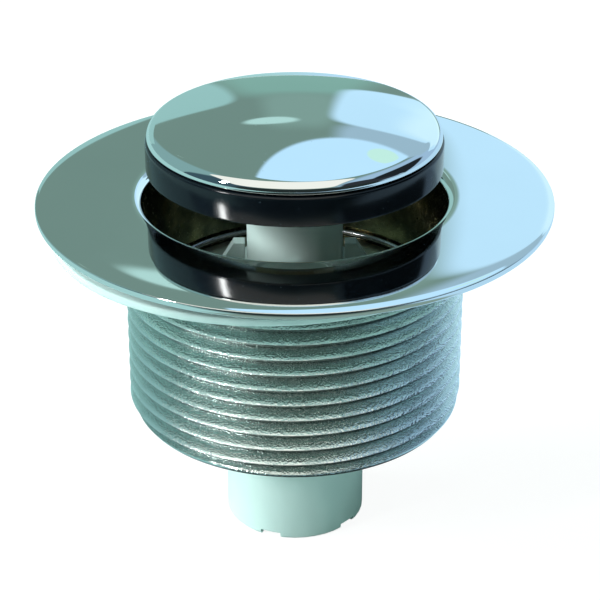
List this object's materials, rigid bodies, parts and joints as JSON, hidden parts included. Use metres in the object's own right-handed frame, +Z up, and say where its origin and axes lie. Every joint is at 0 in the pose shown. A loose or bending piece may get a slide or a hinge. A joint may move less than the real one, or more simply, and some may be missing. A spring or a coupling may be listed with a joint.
{
  "type": "pop up basin waste",
  "caption": "Push-to-open basin waste: chromed flange on a threaded tail, with a domed plug on a spring cartridge that latches down and pops up.",
  "frame": {"origin": "centre of the waste's round outline, in the plane of the cartridge foot, which is the lowest point", "axes": "+Z up along the waste's axis, from the cartridge foot towards the plug; -Y towards the viewer of the picture"},
  "size_m": [0.072, 0.072, 0.0639],
  "materials": {
    "chrome": "polished chrome plate on brass",
    "satin_cast": "satin plated casting",
    "white_plastic": "white acetal, smooth moulded",
    "white_rubber": "white soft gasket",
    "black_rubber": "black moulded rubber with a low sheen",
    "brass": "turned brass",
    "spring_steel": "stainless spring wire"
  },
  "bodies": {
    "housing": {"waste_body": "chrome", "flange_gasket": "white_rubber", "spider": "satin_cast", "spider_snap_ring": "spring_steel", "cartridge_barrel": "white_plastic", "cartridge_washer": "black_rubber", "cartridge_lock_nut": "white_plastic", "wiper_ring": "black_rubber", "guide_bush": "brass", "barrel_end_plug": "white_plastic", "pin_leaf_spring": "spring_steel", "plunger_spring": "spring_steel"},
    "plug": {"cap_dome": "chrome", "cap_seal": "black_rubber", "seal_carrier": "white_plastic", "cap_stud": "spring_steel", "stud_lock_nut": "brass", "plunger_insert": "brass", "plunger": "white_plastic"},
    "latch": {"latch_pin": "spring_steel"}
  },
  "joints": [
    {"name": "plug_travel", "type": "slide", "parent": "housing", "child": "plug", "axis": [0, 0, 1], "range_m": [-0.0097, 0], "stiffness_N_per_m": 300, "springref_m": 0.012, "deforming": ["plunger_spring"]},
    {"name": "latch_swing", "type": "hinge", "parent": "housing", "child": "latch", "pos_m": [-0.002, 0.007, 0.0029], "axis": [0, 1, 0], "range_deg": [0, 12.8]}
  ]
}
